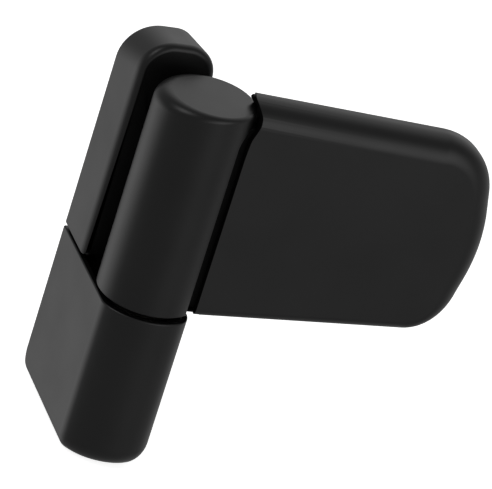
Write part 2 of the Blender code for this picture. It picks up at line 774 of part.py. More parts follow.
def build_frame_bracket():
    """Casting: back plate with two ribs above, and an arm with the bearing tower below."""
    bracket = prism("frame_bracket", plate_outline(), PLATE_FRONT, PLATE_BACK, front, ZINC)
    rib = rounded(
        (
            (PLATE_FRONT + SEAT, RIB_BOTTOM, 0),
            (PLATE_FRONT + SEAT, RIB_TOP, 0),
            (PLATE_FRONT - RIB_DEPTH, RIB_TOP - RIB_DEPTH, RIB_DEPTH / 2),
            (PLATE_FRONT - RIB_DEPTH, RIB_BOTTOM, RIB_THICK / 2),
        )
    )
    for reach in (-PLATE_HALF + RIB_THICK / 2, PLATE_HALF - RIB_THICK / 2):
        edge = UPPER_CENTRE + reach
        fuse(bracket, prism("rib", rib, edge - RIB_THICK / 2 + SEAT, edge + RIB_THICK / 2 - SEAT, side))
    tower_x = PIN_X - ECCENTRICITY
    arm = rounded(
        (
            (PLATE_FRONT + SEAT, TOWER_TOP, 0),
            (PIN_Y, TOWER_TOP, 0),
            (PIN_Y, TOWER_BOTTOM, 0),
            (PLATE_FRONT + SEAT, TOWER_BOTTOM + RIB_DEPTH / 2, 0),
        )
    )
    fuse(bracket, prism("arm", arm, tower_x - ARM_WIDTH / 2, tower_x + ARM_WIDTH / 2, side))
    fuse(bracket, rod(TOWER_RADIUS, TOWER_BOTTOM, TOWER_TOP, plan, (tower_x, PIN_Y), ROUND))
    pocket_front = PIN_Y + TOWER_RADIUS + RIB_THICK
    pocket_back = PLATE_FRONT - RIB_THICK
    pocket = rounded(
        (
            (pocket_front, TOWER_TOP - RIB_THICK * 1.5, 0.002),
            (pocket_back, TOWER_TOP - RIB_THICK * 1.5, 0.002),
            (pocket_back, TOWER_BOTTOM + RIB_DEPTH, 0.002),
            (pocket_front, TOWER_BOTTOM + RIB_DEPTH, 0.002),
        )
    )
    for sign in (-1, 1):
        face = tower_x + sign * ARM_WIDTH / 2
        cut(bracket, prism("pocket", pocket, face - POCKET_DEPTH, face + POCKET_DEPTH, side))
    cut(bracket, rod(TOWER_BORE, BUSH_BOTTOM - SEAT, TOWER_TOP + SEAT, plan, (tower_x, PIN_Y), ROUND))
    cut(bracket, rod(HEIGHT_SCREW_RADIUS + SEAT, TOWER_BOTTOM - SEAT, BUSH_BOTTOM, plan, (PIN_X, PIN_Y)))
    cut(bracket, rod(LOCK_SCREW_RADIUS + SEAT, PIN_Y - TOWER_RADIUS * 2, PIN_Y, front, (PIN_X, LOCK_SCREW_Z)))
    for spot in frame_screw_places():
        cut(bracket, countersink(PLATE_FRONT, front, spot, 1))
    return bracket


def build_pin_stack():
    """Pin, eccentric bush, washer, height screw and lock screw on the pin axis."""
    top = BARREL_TOP - BEARING_FLANGE
    pin_profile = (
        (0, PIN_BOTTOM),
        (PIN_RADIUS - PIN_CHAMFER, PIN_BOTTOM),
        (PIN_RADIUS, PIN_BOTTOM + PIN_CHAMFER),
        (PIN_RADIUS, top - PIN_CHAMFER),
        (PIN_RADIUS - PIN_CHAMFER, top),
        (0, top),
    )
    turned("hinge_pin", pin_profile, STEEL, pin_stand)

    flange_radius = BUSH_RADIUS + FLANGE_OVERHANG
    bush_profile = (
        (0, BUSH_BOTTOM),
        (BUSH_RADIUS, BUSH_BOTTOM),
        (BUSH_RADIUS, TOWER_TOP + SEAT),
        (flange_radius, TOWER_TOP + SEAT),
        (flange_radius, FLANGE_TOP),
        (0, FLANGE_TOP),
    )
    bush = turned("compression_bush", bush_profile, BEARING)
    bush.location = (PIN_X - ECCENTRICITY, PIN_Y, 0)
    cut(bush, rod(PIN_BORE, BUSH_BOTTOM - SEAT, FLANGE_TOP + SEAT, plan, (PIN_X, PIN_Y), ROUND))
    cut(bush, rod(LOCK_SCREW_RADIUS + SEAT, PIN_Y - TOWER_RADIUS * 2, PIN_Y, front, (PIN_X, LOCK_SCREW_Z)))

    washer_radius = BEARING_FLANGE_RADIUS
    washer_profile = (
        (PIN_BORE, WASHER_BOTTOM),
        (washer_radius, WASHER_BOTTOM),
        (washer_radius, WASHER_TOP),
        (PIN_BORE, WASHER_TOP),
    )
    turned("thrust_washer", washer_profile, BEARING, pin_stand)

    height_profile = (
        (0, HEIGHT_SCREW_TOP - HEIGHT_SCREW_LENGTH),
        (HEIGHT_SCREW_RADIUS - PIN_CHAMFER, HEIGHT_SCREW_TOP - HEIGHT_SCREW_LENGTH),
        (HEIGHT_SCREW_RADIUS, HEIGHT_SCREW_TOP - HEIGHT_SCREW_LENGTH + PIN_CHAMFER),
        (HEIGHT_SCREW_RADIUS, HEIGHT_SCREW_TOP - PIN_CHAMFER),
        (HEIGHT_SCREW_RADIUS - PIN_CHAMFER, HEIGHT_SCREW_TOP),
        (0, HEIGHT_SCREW_TOP),
    )
    height_screw = turned("height_screw", height_profile, STEEL, pin_stand, SMALL_ROUND)
    key = HEIGHT_SCREW_RADIUS * 0.55
    foot = HEIGHT_SCREW_TOP - HEIGHT_SCREW_LENGTH
    socket = prism("socket", ellipse(key, key, 6), foot - SEAT, foot + HEIGHT_SCREW_LENGTH / 2, plan)
    socket.parent = pin_stand
    cut(height_screw, socket)

    lock_length = TOWER_RADIUS + ECCENTRICITY - PIN_RADIUS - SEAT * 2
    lock_profile = (
        (0, -lock_length / 2),
        (LOCK_SCREW_RADIUS, -lock_length / 2),
        (LOCK_SCREW_RADIUS, lock_length / 2),
        (0, lock_length / 2),
    )
    lock_screw = turned("pin_lock_screw", lock_profile, STEEL, segments=SMALL_ROUND)
    lock_key = LOCK_SCREW_RADIUS * 0.55
    cut(lock_screw, prism("socket", ellipse(lock_key, lock_key, 6), 0, lock_length, plan))
    aim_along_depth(lock_screw, (PIN_X, PIN_Y - PIN_RADIUS - SEAT - lock_length / 2, LOCK_SCREW_Z))


def build_flag_leaf():
    """Casting: barrel, neck and flag plate in one, with long holes for the clamp screws."""
    plate_front = FLAG_BACK - LEAF_THICK
    outline = inset(flag_outline(), COVER_WALL + LEAF_MARGIN)
    leaf = prism("flag_leaf", outline, plate_front, FLAG_BACK, front, ZINC, flag_pivot)
    keep = block(LEAF_START, FLAG_END, -FLAG_TOP, FLAG_TOP * 2, -FLAG_DEPTH * 2, FLAG_DEPTH * 2, front)
    keep.parent = flag_pivot
    combine(leaf, keep, "INTERSECT")
    neck = block(0, LEAF_START + LEAF_THICK, NECK_BOTTOM, NECK_TOP, FLAG_BACK - NECK_THICK, FLAG_BACK, front)
    neck.parent = flag_pivot
    fuse(leaf, neck)
    barrel = rod(BARREL_RADIUS, BARREL_BOTTOM, BARREL_TOP, plan, (0, 0), ROUND)
    barrel.parent = flag_pivot
    fuse(leaf, barrel)
    flange = BEARING_FLANGE + SEAT
    bore_profile = (
        (0, BARREL_BOTTOM - SEAT),
        (BEARING_FLANGE_RADIUS + SEAT, BARREL_BOTTOM - SEAT),
        (BEARING_FLANGE_RADIUS + SEAT, BARREL_BOTTOM + flange),
        (BEARING_RADIUS + SEAT, BARREL_BOTTOM + flange),
        (BEARING_RADIUS + SEAT, BARREL_TOP - flange),
        (BEARING_FLANGE_RADIUS + SEAT, BARREL_TOP - flange),
        (BEARING_FLANGE_RADIUS + SEAT, BARREL_TOP + SEAT),
        (0, BARREL_TOP + SEAT),
    )
    cut(leaf, turned("bore", bore_profile, parent=flag_pivot))
    low = plate_front - LEAF_THICK
    high = FLAG_BACK + LEAF_THICK
    for spot in SASH_SCREWS:
        access = rod(SCREW_HEAD_RADIUS + LEAF_MARGIN, low, high, front, spot)
        access.parent = flag_pivot
        cut(leaf, access)
    for spot in CLAMP_SCREWS:
        way = slot(CLAMP_RADIUS + SEAT, ADJUST_TRAVEL, low, high, front, spot)
        way.parent = flag_pivot
        cut(leaf, way)
    cam_way = rod(CAM_RADIUS + SEAT, low, high, front, CAM_PLACE)
    cam_way.parent = flag_pivot
    cut(leaf, cam_way)
    return leaf


def build_bearing_bushes():
    """Two flanged bushes, one pressed into each end of the barrel."""
    lengths = (("lower_bush", BARREL_BOTTOM, 1), ("upper_bush", BARREL_TOP, -1))
    for name, end, step in lengths:
        profile = (
            (PIN_BORE, end),
            (BEARING_FLANGE_RADIUS, end),
            (BEARING_FLANGE_RADIUS, end + step * BEARING_FLANGE),
            (BEARING_RADIUS, end + step * BEARING_FLANGE),
            (BEARING_RADIUS, end + step * BEARING_LENGTH),
            (PIN_BORE, end + step * BEARING_LENGTH),
        )
        turned(name, profile, BEARING, flag_pivot)


def build_sash_plate():
    """Steel plate under the leaf; its back is the face on the door leaf."""
    near = FLAG_BACK + SEAT
    outline = inset(flag_outline(), SASH_PLATE_INSET)
    plate = prism("sash_plate", outline, near, SASH_BACK, front, STEEL, flag_pivot)
    keep = block(SASH_PLATE_START, FLAG_END, -FLAG_TOP, FLAG_TOP * 2, near - SEAT, SASH_BACK + SEAT, front)
    keep.parent = flag_pivot
    combine(plate, keep, "INTERSECT")
    for spot in SASH_SCREWS:
        hole = countersink(near, front, spot, 1)
        hole.parent = flag_pivot
        cut(plate, hole)
    for spot in (*CLAMP_SCREWS, CAM_PLACE):
        hole = rod(CLAMP_RADIUS + SEAT, near - SEAT, SASH_BACK + SEAT, front, spot)
        hole.parent = flag_pivot
        cut(plate, hole)
    return plate


def build_lateral_cam():
    """Cam in the leaf whose stub turns in the sash plate and shifts the leaf sideways."""
    top = -(FLAG_BACK - LEAF_THICK)
    foot = -FLAG_BACK
    profile = (
        (0, top),
        (CAM_RADIUS, top),
        (CAM_RADIUS, foot),
        (CAM_PIN_RADIUS, foot),
        (CAM_PIN_RADIUS, -SASH_BACK + SEAT),
        (0, -SASH_BACK + SEAT),
    )
    cam = turned("lateral_cam", profile, STEEL, flag_pivot, SMALL_ROUND)
    key = CAM_RADIUS * 0.4
    cut(cam, prism("socket", ellipse(key, key, 6), top - LEAF_THICK * 0.6, top + SEAT, plan))
    aim_along_depth(cam, (CAM_PLACE[0], 0, CAM_PLACE[1]))


def build_screws():
    """Frame screws, sash screws and clamp screws."""
    for number, (x, z) in enumerate(frame_screw_places(), 1):
        wood_screw(f"frame_screw_{number}", (x, PLATE_FRONT, z), None)
    for number, (x, z) in enumerate(SASH_SCREWS, 1):
        wood_screw(f"sash_screw_{number}", (x, FLAG_BACK + SEAT, z), flag_pivot)
    plate_front = FLAG_BACK - LEAF_THICK
    length = LEAF_THICK + SEAT + SASH_PLATE_THICK
    for number, (x, z) in enumerate(CLAMP_SCREWS, 1):
        cap_screw(f"clamp_screw_{number}", (x, plate_front - SEAT, z), length, flag_pivot)


build_lower_cover()
build_upper_cover()
build_knuckle_cover()
build_flag_cover()
build_frame_packer()
build_frame_bracket()
build_pin_stack()
build_flag_leaf()
build_bearing_bushes()
build_sash_plate()
build_lateral_cam()
build_screws()
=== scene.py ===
import math

import bmesh
import bpy
from mathutils import Matrix, Vector


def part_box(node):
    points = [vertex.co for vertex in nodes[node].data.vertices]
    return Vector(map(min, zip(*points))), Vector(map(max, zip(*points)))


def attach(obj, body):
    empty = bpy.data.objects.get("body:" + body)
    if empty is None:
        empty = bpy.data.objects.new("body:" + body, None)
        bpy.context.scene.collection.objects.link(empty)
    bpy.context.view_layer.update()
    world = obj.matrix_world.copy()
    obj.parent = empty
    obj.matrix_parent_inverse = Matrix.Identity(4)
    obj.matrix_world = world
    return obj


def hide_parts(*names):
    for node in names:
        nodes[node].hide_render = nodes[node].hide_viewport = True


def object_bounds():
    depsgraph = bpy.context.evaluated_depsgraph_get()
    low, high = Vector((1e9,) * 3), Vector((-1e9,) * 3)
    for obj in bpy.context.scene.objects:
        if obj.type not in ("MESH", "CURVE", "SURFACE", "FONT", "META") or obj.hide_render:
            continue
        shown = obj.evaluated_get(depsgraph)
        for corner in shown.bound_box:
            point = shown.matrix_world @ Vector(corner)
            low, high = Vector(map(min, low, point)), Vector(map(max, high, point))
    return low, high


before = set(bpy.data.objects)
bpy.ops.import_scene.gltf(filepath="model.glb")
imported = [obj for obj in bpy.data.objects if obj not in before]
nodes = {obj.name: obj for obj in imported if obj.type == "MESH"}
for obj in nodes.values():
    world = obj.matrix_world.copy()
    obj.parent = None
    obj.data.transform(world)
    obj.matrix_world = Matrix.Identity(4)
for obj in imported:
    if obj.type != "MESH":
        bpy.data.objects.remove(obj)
cad_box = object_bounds()


# Camera, table and light.
# A long lens from the front left and above, on the photograph's frame of 492 x 489.
# A pale table in a white studio: an even glow, five soft lobes of light and one weak strip in front.
def linear(code):
    """Scene-linear colour of an sRGB hex code."""
    channels = [int(code[k:k + 2], 16) / 255 for k in (1, 3, 5)]
    return [c / 12.92 if c <= 0.04045 else ((c + 0.055) / 1.055) ** 2.4 for c in channels] + [1.0]


def add(tree, kind, inputs=None, **settings):
    """Add a shader node with its settings; an input is a value or an output to link from."""
    node = tree.nodes.new(kind)
    for name, value in settings.items():
        setattr(node, name, value)
    for name, value in (inputs or {}).items():
        if isinstance(value, bpy.types.NodeSocket):
            tree.links.new(value, node.inputs[name])
        else:
            node.inputs[name].default_value = value
    return node


camera_right = (0.9162, -0.2860, 0.2807)
camera_up = (-0.1054, 0.5037, 0.8574)
camera_back = (-0.3866, -0.8152, 0.4313)
camera_place = (-0.39695, -0.92791, 0.49011)
camera_data = bpy.data.cameras.new("camera")
camera_data.lens = 292.7
camera_data.sensor_width = 36.0
camera_data.clip_end = 20.0
camera = bpy.data.objects.new("camera", camera_data)
camera_turn = Matrix((camera_right, camera_up, camera_back)).transposed().to_4x4()
camera.matrix_world = Matrix.Translation(camera_place) @ camera_turn
bpy.context.scene.collection.objects.link(camera)
bpy.context.scene.camera = camera
bpy.context.scene.view_settings.view_transform = "Standard"

# The table lies just under the hinge. It is a white ground only: the covers don't mirror it.
TABLE_GAP = 0.0004
TABLE_REACH = 4.0
TABLE_BEHIND = 8.0
table_level = cad_box[0].z - TABLE_GAP
table_mesh = bpy.data.meshes.new("table")
table_corners = [
    (-TABLE_REACH, -TABLE_REACH, table_level),
    (TABLE_REACH, -TABLE_REACH, table_level),
    (TABLE_REACH, TABLE_BEHIND, table_level),
    (-TABLE_REACH, TABLE_BEHIND, table_level),
]
table_mesh.from_pydata(table_corners, [], [(0, 1, 2, 3)])
table = bpy.data.objects.new("table", table_mesh)
table_white = bpy.data.materials.new("matt_white_table")
table_white.use_nodes = True
shader = table_white.node_tree.nodes["Principled BSDF"]
shader.inputs["Base Color"].default_value = linear("#F4F4F4")
shader.inputs["Roughness"].default_value = 0.9
shader.inputs["Emission Color"].default_value = linear("#FFFFFF")
shader.inputs["Emission Strength"].default_value = 0.85
table_mesh.materials.append(table_white)
table.visible_glossy = False
table.visible_shadow = False
bpy.context.scene.collection.objects.link(table)

# Each lobe: its direction, full within and gone beyond so many degrees, and its strength.
# In order they light the tops, the flat left sides, the right ends, the flag's top fillet and the left rims.
EVEN_GLOW = 0.26
LOBES = (
    ((0.500, 0.620, 0.605), 20, 53, 0.47),
    ((-0.642, 0.634, -0.431), 6, 38, 0.66),
    ((0.870, 0.240, -0.430), 0, 60, 0.19),
    ((0.383, -0.911, 0.156), 0, 39, 1.10),
    ((-0.715, -0.110, 0.690), 0, 24, 2.20),
)
world = bpy.data.worlds.new("studio")
world.use_nodes = True
bpy.context.scene.world = world
tree = world.node_tree
background = tree.nodes["Background"]
direction = add(tree, "ShaderNodeTexCoord").outputs["Generated"]
level = EVEN_GLOW
for towards, core, reach, strength in LOBES:
    facing = add(tree, "ShaderNodeVectorMath", {0: direction, 1: towards}, operation="DOT_PRODUCT")
    angle = add(tree, "ShaderNodeMath", {0: facing.outputs["Value"]}, operation="ARCCOSINE")
    glow = add(tree, "ShaderNodeMapRange", {
        "Value": angle.outputs[0], "From Min": math.radians(core), "From Max": math.radians(reach),
        "To Min": strength, "To Max": 0.0,
    }, interpolation_type="SMOOTHSTEP")
    level = add(tree, "ShaderNodeMath", {0: level, 1: glow.outputs[0]}, operation="ADD").outputs[0]
tree.links.new(level, background.inputs["Strength"])
background.inputs["Color"].default_value = linear("#FFFFFF")
seen = add(tree, "ShaderNodeBackground", {"Color": linear("#FFFFFF"), "Strength": 1.0})
camera_ray = add(tree, "ShaderNodeLightPath").outputs["Is Camera Ray"]
chosen = add(tree, "ShaderNodeMixShader", {0: camera_ray, 1: background.outputs[0], 2: seen.outputs[0]})
tree.links.new(chosen.outputs[0], tree.nodes["World Output"].inputs["Surface"])

STRIP_PLACE = Vector((0.14, -1.07, -0.02))
STRIP_AIM = Vector((0.03, -0.03, 0.02))
strip_data = bpy.data.lights.new("strip_front", "AREA")
strip_data.shape = "RECTANGLE"
strip_data.size = 1.0
strip_data.size_y = 0.30
strip_data.energy = 0.3
strip = bpy.data.objects.new("strip_front", strip_data)
strip.location = STRIP_PLACE
strip.rotation_euler = (STRIP_AIM - STRIP_PLACE).to_track_quat("-Z", "Y").to_euler()
bpy.context.scene.collection.objects.link(strip)


# Lower cover.
# A deep cap of black nylon over the bearing tower, open at the top and the back, with a bowl-like foot.
# Injection moulded, 1.6 mm walls, with a fine satin spark-eroded skin; it snaps over the casting.
PIN = Vector((0.0018, -0.0358, 0.0))
SKIN = 0.0016
HALF = 0.0122
LIP_RADIUS = 0.0152
LOWER_TOP = -0.0012
FOOT = -0.0486
COVER_BACK = -0.0002
LEFT_BLEND = 0.0060
RIGHT_BLEND = 0.0074
FRONT_FILLET = 0.0056
LEFT_FILLET = 0.0039
RIGHT_FILLET = 0.0074
BACK_FILLET = 0.0075
LOWER_HEM = 0.00045
CORNER_TOOL = 0.015
OPEN_END = 0.002
AROUND = 180


def plan(u, v, w):
    """Outline in X and Y, depth along Z."""
    return Vector((u, v, w))


def front(u, v, w):
    """Outline in X and Z, depth along Y."""
    return Vector((u, w, v))


def side(u, v, w):
    """Outline in Y and Z, depth along X."""
    return Vector((w, u, v))


def rounded(corners, steps=20):
    """Outline with normals from (u, v, radius) corners, taken anticlockwise; radius 0 stays sharp."""
    outline = []
    for i, (u, v, radius) in enumerate(corners):
        corner = Vector((u, v))
        back = (Vector(corners[i - 1][:2]) - corner).normalized()
        on = (Vector(corners[(i + 1) % len(corners)][:2]) - corner).normalized()
        convex = on.cross(back) > 0
        inward = (back + on).normalized()
        if radius <= 0:
            outline.append((corner, -inward if convex else inward))
            continue
        half = back.angle(on) / 2
        centre = corner + inward * radius / math.sin(half)
        start = corner + back * radius / math.tan(half) - centre
        end = corner + on * radius / math.tan(half) - centre
        sweep = math.pi - 2 * half
        for k in range(steps + 1):
            t = k / steps
            spoke = (start * math.sin((1 - t) * sweep) + end * math.sin(t * sweep)) / math.sin(sweep)
            outline.append((centre + spoke, spoke.normalized() * (1 if convex else -1)))
    return outline


def body(name, rings):
    """Closed body from rings of as many points each, with a flat face at either end."""
    bm = bmesh.new()
    made = [[bm.verts.new(point) for point in ring] for ring in rings]
    for last, following in zip(made, made[1:]):
        for k in range(len(last)):
            j = (k + 1) % len(last)
            bm.faces.new((last[k], last[j], following[j], following[k]))
    bm.faces.new(made[0])
    bm.faces.new(made[-1])
    bmesh.ops.remove_doubles(bm, verts=bm.verts, dist=1e-6)
    bmesh.ops.recalc_face_normals(bm, faces=bm.faces)
    mesh = bpy.data.meshes.new(name)
    bm.to_mesh(mesh)
    bm.free()
    shape = bpy.data.objects.new(name, mesh)
    bpy.context.scene.collection.objects.link(shape)
    return shape


def dished(name, outline, fillet, face, far, place, far_outline=None, hem=0.0, steps=12, ease=None):
    """Body with a flat face, a rim rounded by fillet(point, normal), and a small rounding at the far end.

    With ease(point, normal) the rim reaches that many times as far across the face as it is deep.
    """
    far_outline = far_outline or outline
    step = 1 if far > face else -1
    rings = []
    for turned in (0, 1 / 3, 2 / 3, 1) if hem else (0,):
        turn = turned * math.pi / 2
        inward = hem * (1 - math.sin(turn))
        level = far - step * hem * (1 - math.cos(turn))
        rings.append([place(*(point - normal * inward), level) for point, normal in far_outline])
    for i in range(steps + 1):
        turn = i / steps * math.pi / 2
        ring = []
        for (point, normal), (far_point, _) in zip(outline, far_outline):
            radius = fillet(point, normal)
            across = radius * (ease(point, normal) if ease else 1) * (1 - math.cos(turn))
            level = face + step * radius * (1 - math.sin(turn))
            share = (level - face) / (far - face)
            ring.append(place(*(point.lerp(far_point, share) - normal * across), level))
        rings.append(ring)
    return body(name, rings)


def prism(outline, low, high, place):
    """An outline drawn out along its depth axis."""
    return body("tool", [[place(*point, level) for point, _ in outline] for level in (low, high)])


def disc(radius, low, high):
    """A round body on the pin axis, as a cutting tool."""
    angles = [2 * math.pi * k / AROUND for k in range(AROUND)]
    circle = [Vector((radius * math.cos(angle), radius * math.sin(angle), 0)) + PIN for angle in angles]
    return body("tool", [[point + Vector((0, 0, level)) for point in circle] for level in (low, high)])


def combine(target, tool, operation="DIFFERENCE"):
    """Apply a Boolean of the tool to the target and remove the tool."""
    modifier = target.modifiers.new("combine", "BOOLEAN")
    modifier.operation = operation
    modifier.solver = "EXACT"
    modifier.object = tool
    graph = bpy.context.evaluated_depsgraph_get()
    mesh = bpy.data.meshes.new_from_object(target.evaluated_get(graph))
    target.modifiers.clear()
    target.data = mesh
    bpy.data.objects.remove(tool)


def settle(shape, name, material, carrier, replaced, sharp=32):
    """Shade smooth but for edges over sharp degrees, and put the piece in its CAD node's place."""
    shape.data.shade_smooth()
    shape.data.set_sharp_from_angle(angle=math.radians(sharp))
    modifier = shape.modifiers.new("flats", "WEIGHTED_NORMAL")
    modifier.keep_sharp = True
    modifier.weight = 90
    graph = bpy.context.evaluated_depsgraph_get()
    shape.data = bpy.data.meshes.new_from_object(shape.evaluated_get(graph))
    shape.modifiers.clear()
    shape.name = name
    shape.data.name = name
    shape.data.materials.clear()
    shape.data.materials.append(material)
    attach(shape, carrier)
    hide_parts(replaced)


def surface(name, **inputs):
    """New material with a Principled shader; returns the material, its tree and the shader."""
    material = bpy.data.materials.new(name)
    material.use_nodes = True
    tree = material.node_tree
    shader = tree.nodes["Principled BSDF"]
    for key, value in inputs.items():
        shader.inputs[key.replace("_", " ")].default_value = value
    return material, tree, shader


def noise(tree, scale, detail=3.0, stretch=None):
    """Noise on object coordinates; scale is in cycles a metre, stretch squeezes it along the axes."""
    place = add(tree, "ShaderNodeTexCoord").outputs["Object"]
    if stretch:
        place = add(tree, "ShaderNodeMapping", {"Vector": place, "Scale": stretch}).outputs[0]
    return add(tree, "ShaderNodeTexNoise", {"Vector": place, "Scale": scale, "Detail": detail}).outputs["Fac"]


def vary(tree, shader, fac, low, high, rough_low, rough_high):
    """Lead a colour and a roughness between two values by one factor."""
    ends = {"Factor": fac, "A": linear(low), "B": linear(high)}
    tone = add(tree, "ShaderNodeMix", ends, data_type="RGBA")
    gloss = add(tree, "ShaderNodeMapRange", {
        "Value": fac, "From Min": 0.3, "From Max": 0.7, "To Min": rough_low, "To Max": rough_high,
    })
    tree.links.new(tone.outputs["Result"], shader.inputs["Base Color"])
    tree.links.new(gloss.outputs["Result"], shader.inputs["Roughness"])


def relief(tree, shader, layers):
    """Stack bumps of (height, distance in metres) on the shader's normal."""
    normal = None
    for height, distance in layers:
        inputs = {"Strength": 1.0, "Distance": distance, "Height": height}
        if normal:
            inputs["Normal"] = normal
        normal = add(tree, "ShaderNodeBump", inputs).outputs["Normal"]
    tree.links.new(normal, shader.inputs["Normal"])


# The skin: a spark-eroded grain of about a quarter of a millimetre over slow waves of about 4 mm
cover_skin, tree, shader = surface("moulded_nylon_satin_black", IOR=1.5)
vary(tree, shader, noise(tree, 55.0, 2.0), "#050505", "#080808", 0.31, 0.37)
relief(tree, shader, ((noise(tree, 4200.0, 2.0), 0.0000035), (noise(tree, 260.0, 1.0), 0.000004)))


def lower_plan(shrink, back):
    """Plan of the lower cover: round front about the pin, blended into two flat sides."""
    left = -HALF + shrink
    right = HALF - shrink
    reach = LIP_RADIUS - shrink
    arcs = []
    for wall, blend in ((right, RIGHT_BLEND - shrink), (left, LEFT_BLEND - shrink)):
        sign = 1 if wall > 0 else -1
        gap = abs(wall - PIN.x) - blend
        drop = math.sqrt((reach - blend) ** 2 - gap ** 2)
        arcs.append((Vector((wall - sign * blend, PIN.y - drop)), blend, math.atan2(-drop, sign * gap)))
    (right_centre, right_blend, right_meet), (left_centre, left_blend, left_meet) = arcs
    outline = [(Vector((right, back)), Vector((1, 0)))]
    for middle, radius, first, last, steps in (
        (right_centre, right_blend, 0.0, right_meet, 20),
        (PIN.xy, reach, right_meet, left_meet, 60),
        (left_centre, left_blend, left_meet, -math.pi, 20),
    ):
        for k in range(steps + 1):
            angle = first + (last - first) * k / steps
            spoke = Vector((math.cos(angle), math.sin(angle)))
            point = middle + spoke * radius
            if (point - outline[-1][0]).length > 1e-6:
                outline.append((point, spoke))
    outline.append((Vector((left, back)), Vector((-1, 0))))
    return outline


def foot_rim(point, normal):
    """Fillet round the foot: larger on the right, smaller on the left."""
    sideways = RIGHT_FILLET if normal.x > 0 else LEFT_FILLET
    return FRONT_FILLET + (sideways - FRONT_FILLET) * normal.x ** 2


def back_corner(shrink, top):
    """Tool that rounds the foot where it meets the door frame."""
    beyond = CORNER_TOOL / 2
    return prism(rounded((
        (COVER_BACK - CORNER_TOOL, FOOT - beyond, 0),
        (COVER_BACK + beyond, FOOT - beyond, 0),
        (COVER_BACK + beyond, top, 0),
        (COVER_BACK - shrink, top, 0),
        (COVER_BACK - shrink, FOOT + shrink, BACK_FILLET - shrink),
        (COVER_BACK - CORNER_TOOL, FOOT + shrink, 0),
    )), -CORNER_TOOL * 2, CORNER_TOOL * 2, side)


def cavity_rim(point, normal):
    """The foot's fillet, one wall further in."""
    return foot_rim(point, normal) - SKIN


cover = dished("lower_cover", lower_plan(0, COVER_BACK), foot_rim, FOOT, LOWER_TOP, plan, hem=LOWER_HEM)
combine(cover, back_corner(0, FOOT + CORNER_TOOL))
cavity = dished("cavity", lower_plan(SKIN, OPEN_END), cavity_rim, FOOT + SKIN, LOWER_TOP + SKIN, plan)
combine(cavity, back_corner(SKIN, FOOT + BACK_FILLET))
combine(cover, cavity)
settle(cover, "lower_cover_moulding", cover_skin, "frame_part", "lower_cover")


# Upper cover.
# A flat cap with a round top over the frame plate; its top falls 3.5 mm towards the door frame.
# The same moulding material; open at the back and at the bottom, where it meets the lower cover.
UPPER_LEFT = -0.0122
UPPER_RIGHT = 0.0098
UPPER_BOTTOM = -0.0004
UPPER_TOP = 0.06705
UPPER_BACK_TOP = 0.0636
UPPER_FACE = -0.0189
BOTTOM_CORNER = 0.0007
LEFT_CORNER = 0.0092
RIGHT_CORNER = 0.0091
BACK_LEFT_CORNER = 0.0108
BACK_RIGHT_CORNER = 0.0072
UPPER_RIM = 0.0022
LEFT_RIM_MORE = 0.0012
LEFT_RIM_NARROWER = 0.44
SMALL_HEM = 0.0003
FOOT_WAY_TOP = 0.013


def upper_front(top, left_corner, right_corner, shrink):
    """Front view of the upper cover: straight sides under a round top."""
    left = UPPER_LEFT + shrink
    right = UPPER_RIGHT - shrink
    bottom_corner = max(0.0, BOTTOM_CORNER - shrink)
    return rounded((
        (left, UPPER_BOTTOM, bottom_corner),
        (right, UPPER_BOTTOM, bottom_corner),
        (right, top - shrink, right_corner - shrink),
        (left, top - shrink, left_corner - shrink),
    ), steps=30)


def upper_near(shrink):
    """The outline at the cover's face."""
    return upper_front(UPPER_TOP, LEFT_CORNER, RIGHT_CORNER, shrink)


def upper_far(shrink):
    """The outline at the door frame."""
    return upper_front(UPPER_BACK_TOP, BACK_LEFT_CORNER, BACK_RIGHT_CORNER, shrink)


def upper_rim(point, normal):
    """Depth of the front rim's rounding: deepest along the left side."""
    return UPPER_RIM + LEFT_RIM_MORE * max(0.0, -normal.x) ** 2


def upper_ease(point, normal):
    """The rounding stays 1.9 mm wide along the left side, however deep it is."""
    return 1 - LEFT_RIM_NARROWER * max(0.0, -normal.x) ** 2


def small_rim(point, normal):
    """A rounding of the inner corners."""
    return SMALL_HEM


def oblong(left, bottom, right, top):
    """A plain rectangle, for cuts."""
    return rounded(((left, bottom, 0), (right, bottom, 0), (right, top, 0), (left, top, 0)))


cover = dished("upper_cover", upper_near(0), upper_rim, UPPER_FACE, COVER_BACK, front,
               upper_far(0), hem=SMALL_HEM, ease=upper_ease)
cavity = dished("cavity", upper_near(SKIN), small_rim, UPPER_FACE + SKIN, COVER_BACK + SKIN, front,
                upper_far(SKIN))
combine(cover, cavity)
foot_way = oblong(UPPER_LEFT + SKIN, UPPER_BOTTOM - OPEN_END, UPPER_RIGHT - SKIN, FOOT_WAY_TOP)
combine(cover, prism(foot_way, UPPER_FACE + SKIN, COVER_BACK + SKIN, front))
settle(cover, "upper_cover_moulding", cover_skin, "frame_part", "upper_cover")


# Knuckle cover.
# A round cap over the barrel, with a flat closed top, a side window for the neck and a rim that is rounder
# towards the frame. Moulded like the others; it turns with the flag, 1.2 mm above the lower cover's lip.
KNUCKLE_RADIUS = 0.0140
KNUCKLE_TOP = 0.0617
KNUCKLE_HEM = 0.00025
KNUCKLE_BORE = 0.0124
CAP_UNDERSIDE = 0.0599
RIM = 0.0012
RIM_MORE = 0.0032
RIM_TOWARDS = math.radians(150)
RIM_STEPS = 14
WINDOW_START = PIN.x + 0.0044
WINDOW_FRONT = PIN.y - 0.0112
WINDOW_BACK = PIN.y + 0.0060
WINDOW_TOP = 0.0579
WINDOW_CORNER = 0.0060
BELOW_ALL = -0.0016


def knuckle_ring(shape_at):
    """Ring about the pin; shape_at(angle) gives its radius and level."""
    ring = []
    for k in range(AROUND):
        angle = 2 * math.pi * k / AROUND
        reach, level = shape_at(angle)
        ring.append(Vector((reach * math.cos(angle), reach * math.sin(angle), level)) + PIN)
    return ring


